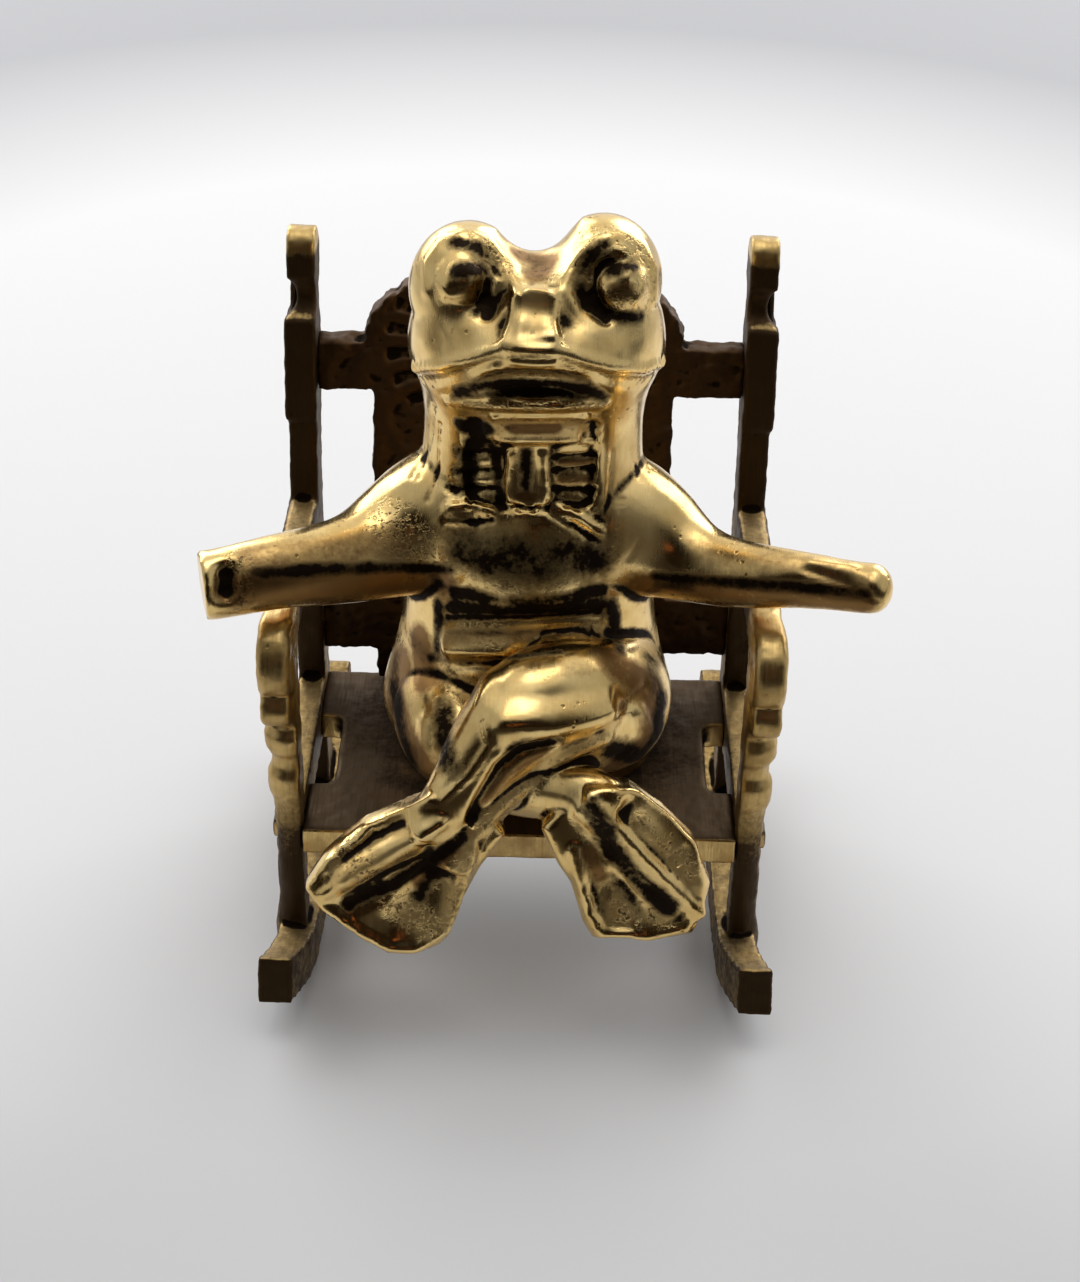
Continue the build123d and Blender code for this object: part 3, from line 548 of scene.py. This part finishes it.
def rub_down(path, wide_mm, rounds):
    """A stone rubbed along the line until steps and sharp edges there run together."""
    found, nearness, _ = near_line(path, wide_mm)
    weight = np.zeros(len(points))
    weight[found] = np.minimum(1, 2 * nearness)
    for _ in range(rounds):
        points[:] += weight[:, None] * (even_out(points, edges, 1) - points)


def left_along(layer, fullness):
    """A tool that leaves its mark in a layer along a line, full in the middle and faint at the edge."""

    def tool(path, wide_mm, share):
        found, nearness, _ = near_line(path, wide_mm)
        layer[found] = np.maximum(layer[found], share * np.minimum(1, fullness * nearness))

    return tool


# brown-black oxide and painted dark shade and reflection, casting pits, thin brown tarnish and painted
# brown reflection, and matt file and scraper marks
blacken = left_along(oxide_and_painted_dark, 1.35)
roughen = left_along(grit, 1.8)
tarnish_and_paint_brown = left_along(tarnish_and_painted_brown, 1.6)
file_flat = left_along(filed, 1.8)

# saddle between the lobes, ground into one smooth hollow from nose to nape
saddle_middle, saddle_reach = (0.0013, -0.0035, 0.0875), (0.0058, 0.0105, 0.0062)
saddle_sunk, saddle_rounds = 0.0011, 150
saddle = np.clip(1 - np.linalg.norm((points - saddle_middle) / saddle_reach, axis=1), 0, 1)
points[:, 2] -= saddle_sunk * soft_step(saddle)
for _ in range(saddle_rounds):
    points += np.minimum(1, 2.5 * saddle)[:, None] * (even_out(points, edges, 1) - points)

# bridge between the brows, rubbed down to a valley behind the nose
rub_down([(505, 250), (535, 262), (562, 250)], 3.6, 40)
rub_down([(512, 285), (535, 290), (560, 285)], 2.6, 40)
chase([(514, 279), (556, 279)], 1.6, -0.5)
chase([(522, 296), (550, 296)], 2.0, 0.5)
rub_down([(514, 286), (556, 286)], 3.2, 70)
rub_down([(505, 298), (503, 335)], 1.8, 30)
rub_down([(560, 298), (562, 335)], 1.8, 30)
rub_down([(505, 352), (530, 356), (560, 354)], 1.6, 20)
rub_down([(452, 314), (475, 323), (500, 312)], 2.2, 30)
rub_down([(582, 308), (608, 322), (642, 320)], 2.2, 30)
rub_down([(444, 262), (434, 285), (446, 310), (470, 314)], 1.3, 14)
rub_down([(648, 270), (650, 295), (636, 312)], 1.3, 14)
tarnish_and_paint_brown([(520, 256), (548, 262), (535, 274)], 2.4, 0.8)
file_flat([(518, 258), (550, 265)], 2.6, 1.0)
file_flat([(535, 296), (533, 334)], 1.9, 0.8)
file_flat([(440, 338), (485, 334)], 3.6, 0.5)
file_flat([(580, 336), (640, 342)], 3.6, 0.5)

# eye sockets with their rims
left_rim = [(427, 290), (427, 262), (440, 242), (465, 232), (492, 240), (510, 262), (514, 290)]
right_rim = [(568, 290), (571, 264), (590, 243), (618, 232), (644, 244), (655, 268), (655, 300)]
chase(left_rim, 1.3, 0.25)
chase(right_rim, 1.3, 0.25)
chase([(488, 255), (500, 275), (500, 295), (486, 312)], 1.6, -0.5)
chase([(585, 262), (580, 285), (588, 305), (605, 318)], 1.6, -0.5)
blacken([(455, 243), (478, 247), (494, 262), (503, 282), (495, 300), (476, 312)], 1.5, 1.0)
blacken([(604, 245), (588, 258), (579, 280), (587, 302), (612, 316), (640, 318)], 1.6, 1.0)
blacken([(437, 262), (434, 285), (441, 305)], 0.8, 0.6)
# painted reflection: a dark core on each eyeball, and a painted brown reflection below it
blacken([(457, 270), (482, 270)], 2.1, 1.0)
blacken([(612, 268), (632, 267)], 2.0, 1.0)
tarnish_and_paint_brown([(462, 292), (474, 300)], 1.2, 0.55)
tarnish_and_paint_brown([(608, 286), (634, 287)], 0.7, 0.7)
chase([(449, 272), (462, 300), (480, 290)], 2.2, -0.35)
chase([(612, 275), (625, 300), (640, 285)], 2.2, -0.35)
roughen([(455, 238), (485, 245), (505, 270)], 1.6, 0.7)
roughen([(585, 262), (600, 300), (640, 312)], 1.8, 0.6)
roughen([(590, 240), (620, 238), (643, 262), (650, 300)], 2.2, 0.5)

# nose ridge with bright edges, and the hollows beside it
chase([(521, 283), (514, 312), (505, 340)], 0.9, 0.35)
chase([(552, 282), (553, 312), (556, 342)], 0.9, 0.35)
chase([(536, 292), (532, 332)], 1.5, -0.2)
chase([(504, 342), (530, 338), (557, 335)], 0.7, 0.12)
chase([(497, 322), (470, 336), (440, 340)], 3.0, -0.5)
chase([(570, 322), (600, 338), (630, 342)], 3.0, -0.5)
roughen([(520, 255), (550, 275)], 2.0, 0.7)

# upper lip, the turned-down mouth and the lower lip
upper_lip = [(411, 368), (440, 366), (470, 358), (502, 347), (530, 350)]
upper_lip += [(560, 351), (588, 360), (615, 368), (645, 369), (662, 362)]
under_lip = [(414, 380), (445, 378), (475, 369), (505, 359), (530, 361)]
under_lip += [(560, 362), (588, 371), (615, 380), (645, 382)]
chase(upper_lip, 1.1, 0.45)
chase(under_lip, 1.1, -0.2)
blacken([(456, 389), (480, 378), (505, 371), (555, 371), (585, 380), (604, 393)], 1.1, 0.75)
blacken([(458, 393), (480, 386), (520, 383), (560, 384), (590, 390), (606, 398)], 1.4, 1.0)
blacken([(452, 397), (500, 395), (560, 395), (606, 400)], 0.8, 0.9)
blacken([(462, 365), (485, 359), (530, 357), (565, 360), (600, 371)], 0.7, 0.8)
chase([(448, 401), (480, 405), (520, 407), (560, 407), (604, 404)], 0.9, 0.4)
roughen([(455, 404), (520, 406), (600, 404)], 0.9, 0.8)
rub_down([(455, 410), (605, 410)], 0.9, 8)
rub_down([(500, 428), (580, 428)], 1.8, 20)

# collar, tie and shirt folds
collar_edges = ([(494, 417), (584, 417)], [(496, 441), (590, 441)])
collar_ends = ([(495, 417), (496, 441)], [(584, 417), (590, 441)])
for edge_line in collar_edges + collar_ends:
    chase(edge_line, 0.7, 0.2)
chase([(508, 429), (575, 429)], 1.1, -0.15)
file_flat([(500, 428), (590, 428)], 1.8, 0.8)
tarnish_and_paint_brown([(512, 429), (556, 429)], 1.2, 1.0)
blacken([(568, 428), (574, 430)], 0.9, 0.8)
chase([(510, 455), (508, 482), (510, 503), (517, 516)], 0.7, 0.4)
chase([(542, 455), (544, 482), (542, 503), (535, 516)], 0.7, 0.4)
chase([(526, 455), (526, 492)], 1.3, -0.4)
blacken([(526, 453), (526, 488)], 1.5, 1.0)
chase([(525, 508), (526, 510)], 1.3, 0.35)
left_folds = ([(458, 452), (498, 452)], [(456, 472), (496, 470)], [(452, 489), (496, 488)])
for fold in left_folds:
    chase(fold, 0.8, -0.45)
    blacken(fold, 1.1, 0.9)
blacken([(490, 440), (498, 470), (500, 510)], 1.0, 0.95)
chase([(450, 508), (470, 505), (488, 511)], 1.1, 0.55)
chase([(446, 521), (470, 523), (492, 520)], 0.7, -0.35)
blacken([(444, 500), (450, 521), (492, 521)], 0.7, 0.85)
right_folds = ([(553, 458), (594, 455)], [(553, 470), (594, 468)], [(553, 489), (594, 490)])
for fold in right_folds:
    chase(fold, 0.7, -0.4)
    blacken(fold, 0.9, 0.9)
blacken([(552, 445), (552, 500)], 0.9, 0.9)
chase([(556, 507), (578, 516), (600, 531)], 1.0, 0.55)
chase([(552, 516), (575, 527), (600, 543)], 0.7, -0.35)
blacken([(550, 500), (580, 508), (603, 524), (602, 541)], 0.6, 0.85)
blacken([(462, 425), (485, 428), (470, 450), (470, 480)], 1.8, 1.2)
blacken([(495, 450), (500, 500)], 1.1, 1.2)
tarnish_and_paint_brown([(560, 463), (592, 462)], 0.7, 1.0)
tarnish_and_paint_brown([(560, 480), (592, 479)], 0.8, 1.0)
tarnish_and_paint_brown([(515, 497), (538, 497)], 0.8, 1.0)

# belly, the ledge under it and the marks on chest and neck
chase([(505, 575), (545, 575)], 7.5, 0.9)
chase([(447, 618), (520, 617), (600, 612)], 1.3, -0.4)
chase([(450, 640), (520, 642), (598, 634)], 1.6, 0.5)
roughen([(470, 630), (520, 640), (590, 636)], 2.0, 0.6)
roughen([(390, 520), (410, 540), (432, 556)], 3.2, 1.0)
roughen([(390, 600), (400, 640)], 2.2, 0.8)
roughen([(650, 640), (665, 620), (690, 595)], 1.8, 0.6)
blacken([(640, 600), (660, 585), (690, 588)], 1.4, 0.7)
rub_down([(455, 636), (505, 636)], 1.6, 20)
chase([(452, 648), (505, 648)], 2.2, 1.2)
file_flat([(452, 638), (505, 637), (530, 630)], 1.7, 1.0)
file_flat([(568, 636), (600, 632)], 1.4, 0.9)
tarnish_and_paint_brown([(498, 612), (580, 612)], 1.0, 0.9)
tarnish_and_paint_brown([(452, 638), (505, 637), (600, 634)], 2.0, 0.5)
blacken([(438, 604), (438, 650)], 1.5, 1.0)
blacken([(612, 604), (620, 650)], 1.7, 1.0)
# painted dark reflection, laid in the fold under the belly
blacken([(455, 592), (530, 599), (602, 590)], 1.5, 1.2)
blacken([(430, 658), (500, 658), (560, 652)], 1.1, 0.95)
blacken([(452, 609), (500, 609), (600, 606)], 1.7, 1.2)
blacken([(530, 640), (556, 640)], 1.0, 0.9)
file_flat([(640, 668), (655, 640), (680, 612)], 1.7, 1.0)
file_flat([(388, 606), (405, 630), (422, 652)], 1.3, 1.0)
roughen([(388, 606), (405, 630), (422, 652)], 1.3, 0.8)
file_flat([(625, 450), (630, 500), (640, 545)], 3.4, 0.9)
file_flat([(430, 420), (425, 470), (430, 500)], 2.0, 0.6)
file_flat([(450, 538), (480, 532), (520, 526)], 1.2, 0.7)
file_flat([(598, 552), (612, 570)], 2.2, 0.6)
left_neck_cuts = (
    [(434, 405), (431, 440), (418, 478)],
    [(440, 425), (438, 470), (428, 500)],
    [(428, 420), (426, 450), (412, 476)],
)
for cut in left_neck_cuts:
    chase(cut, 0.5, -0.22)
right_neck_scratches = (
    [(612, 452), (606, 530)],
    [(630, 450), (641, 480)],
    [(622, 500), (616, 556)],
    [(640, 540), (628, 560)],
)
for scratch in right_neck_scratches:
    chase(scratch, 0.45, -0.15)

# hips, tarnished brown with a few rubbed facets
blacken([(392, 662), (392, 700), (402, 742), (420, 778)], 5.0, 0.62)
blacken([(444, 716), (446, 762)], 3.0, 0.9)
blacken([(652, 664), (662, 700), (652, 745)], 4.0, 0.7)
tarnish_and_paint_brown([(400, 665), (394, 700), (405, 740), (430, 775)], 4.2, 0.9)
tarnish_and_paint_brown([(610, 660), (655, 690), (650, 740), (610, 770)], 3.4, 0.8)
tarnish_and_paint_brown([(490, 668), (452, 730), (410, 798)], 1.7, 0.55)
blacken([(443, 706), (447, 745), (452, 770)], 2.4, 0.8)
blacken([(394, 690), (402, 735), (418, 780)], 3.4, 0.95)
tarnish_and_paint_brown([(420, 640), (425, 680)], 3.0, 0.9)
blacken([(392, 745), (405, 775), (425, 792)], 1.6, 0.8)
blacken([(612, 750), (640, 757), (657, 735), (661, 700)], 3.2, 1.0)
rub_down([(425, 690), (448, 695)], 2.0, 20)
file_flat([(450, 674), (465, 690)], 1.8, 0.9)
roughen([(450, 674), (465, 690)], 2.0, 0.9)
chase([(424, 722), (424, 768)], 1.6, 0.3)
file_flat([(424, 725), (424, 765)], 1.2, 0.8)
chase([(640, 712), (648, 730)], 1.4, 0.5)
file_flat([(640, 712), (648, 730)], 1.4, 0.9)

# crossed legs: groove between knee and shin, folds at the knee
chase([(505, 724), (555, 724), (605, 712)], 3.4, 1.1)
chase([(550, 741), (522, 750), (500, 768), (482, 798), (466, 832)], 1.5, -0.7)
blacken([(560, 738), (545, 730), (528, 735), (510, 750)], 1.3, 1.0)
blacken([(510, 750), (488, 780), (470, 815)], 0.8, 0.9)
tarnish_and_paint_brown([(546, 750), (506, 776), (480, 808)], 1.0, 0.9)
tarnish_and_paint_brown([(515, 668), (590, 668)], 1.6, 0.35)
rub_down([(605, 715), (625, 705)], 1.6, 12)
chase([(598, 729), (625, 706), (646, 686)], 1.1, -0.25)
tarnish_and_paint_brown([(580, 722), (600, 713), (622, 705)], 1.0, 1.0)
chase([(486, 724), (490, 745), (470, 775), (440, 803)], 0.9, 0.35)
file_flat([(604, 732), (575, 748), (547, 762), (510, 795), (480, 830), (455, 880), (447, 925)], 1.6, 0.9)
chase([(606, 738), (575, 752), (543, 770), (505, 802), (472, 838)], 1.6, 0.45)
chase([(455, 668), (487, 672), (478, 706)], 2.6, 0.35)
roughen([(600, 740), (545, 770), (470, 840), (450, 930)], 1.7, 0.6)

# webbed feet: raised rims, a ridge down the middle and a long hollow each side
left_web = [(420, 812), (360, 850), (322, 888), (352, 918), (392, 940), (430, 925), (455, 870), (440, 830)]
right_web = [(590, 800), (650, 820), (690, 880), (680, 918), (620, 925), (588, 890), (580, 840)]
rub_down(left_web, 3.4, 14)
rub_down(right_web, 3.4, 14)
file_flat([(345, 872), (400, 835)], 2.8, 0.8)
file_flat([(405, 905), (425, 925)], 2.4, 0.8)
file_flat([(640, 820), (690, 880)], 2.8, 0.8)
file_flat([(620, 910), (665, 912)], 2.2, 0.8)
# painted shade along the shaded side of the left foot's ridge
blacken([(462, 838), (430, 862), (395, 884), (350, 902)], 1.5, 1.2)
tarnish_and_paint_brown([(448, 850), (420, 880)], 1.6, 1.0)
# painted shade along the shaded side of the right foot's ridge
blacken([(592, 812), (612, 848), (640, 880), (668, 905)], 2.3, 1.2)
tarnish_and_paint_brown([(588, 852), (600, 876)], 1.4, 1.0)
left_foot_rim = [(430, 800), (368, 829), (329, 862), (310, 889), (325, 909)]
left_foot_rim += [(364, 936), (391, 950), (414, 950), (436, 938)]
chase(left_foot_rim, 1.2, 0.5)
chase([(472, 850), (462, 890), (446, 930)], 1.2, 0.6)
chase([(440, 824), (382, 862), (326, 893)], 1.5, 0.7)
chase([(418, 832), (380, 852), (345, 874)], 2.6, 0.9)
chase([(450, 850), (420, 895)], 2.0, -0.3)
chase([(380, 890), (350, 905)], 2.0, -0.5)
roughen([(352, 850), (400, 905), (425, 925)], 2.6, 1.0)
roughen([(450, 850), (430, 880)], 1.8, 0.8)
blacken([(455, 850), (446, 858)], 0.8, 0.9)
right_foot_rim = [(590, 792), (636, 793), (665, 816), (692, 845), (703, 886), (698, 912)]
right_foot_rim += [(686, 928), (650, 937), (602, 934), (590, 915), (580, 880), (574, 850)]
chase(right_foot_rim, 1.2, 0.55)
chase([(592, 800), (640, 852), (698, 912)], 1.4, 0.75)
chase([(606, 845), (618, 880), (640, 910)], 2.4, -0.3)
chase([(640, 822), (668, 850), (690, 882)], 2.4, 0.9)
roughen([(620, 912), (665, 915)], 2.2, 1.0)
roughen([(640, 820), (690, 870)], 1.8, 0.7)

# arms and the belly between them, darkened by painted dark reflection: the left arm ends in a rough
# hollow, and the right one is creased like a mitten
# painted dark reflection: the lower halves of the arms and the belly between them darkened, the upper arms
# a little painted brown
blacken([(255, 573), (330, 569), (400, 567), (450, 569)], 1.4, 1.0)
blacken([(470, 552), (530, 560), (590, 556)], 5.6, 0.85)
blacken([(655, 576), (720, 582), (800, 587), (868, 594)], 1.3, 1.0)
tarnish_and_paint_brown([(250, 558), (330, 550), (400, 540)], 3.2, 0.6)
tarnish_and_paint_brown([(235, 592), (330, 588), (440, 580)], 3.6, 0.85)
tarnish_and_paint_brown([(700, 548), (780, 560), (860, 580)], 3.2, 0.5)
tarnish_and_paint_brown([(640, 585), (740, 592), (860, 602)], 3.2, 0.8)
file_flat([(255, 555), (470, 545)], 2.4, 0.4)
chase([(226, 575), (226, 592)], 2.0, -1.5)
blacken([(226, 573), (226, 594)], 1.5, 1.0)
roughen([(238, 560), (240, 600)], 2.0, 1.0)
chase([(806, 570), (845, 582), (876, 602)], 0.9, -0.2)
chase([(812, 562), (850, 568), (872, 585)], 1.2, 0.25)
chase([(760, 585), (800, 582)], 0.8, -0.25)
roughen([(690, 575), (720, 585)], 1.2, 0.5)

# the worked shape and what the tools left on it go onto the casting
frog.data.vertices.foreach_set("co", points.astype(np.float32).ravel())
frog.data.update()
mark_hollows(frog, fine_rounds=6, broad_rounds=50)
keep_share(frog, "oxide_and_painted_dark", even_out(oxide_and_painted_dark, edges, 2))
keep_share(frog, "grit", even_out(grit, edges, 2))
keep_share(frog, "filed", even_out(filed, edges, 3))
keep_share(frog, "rubbed", 1 - even_out(tarnish_and_painted_brown, edges, 2))
frog.data.materials.append(frog_metal)
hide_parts("frog")
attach(frog, "frog")
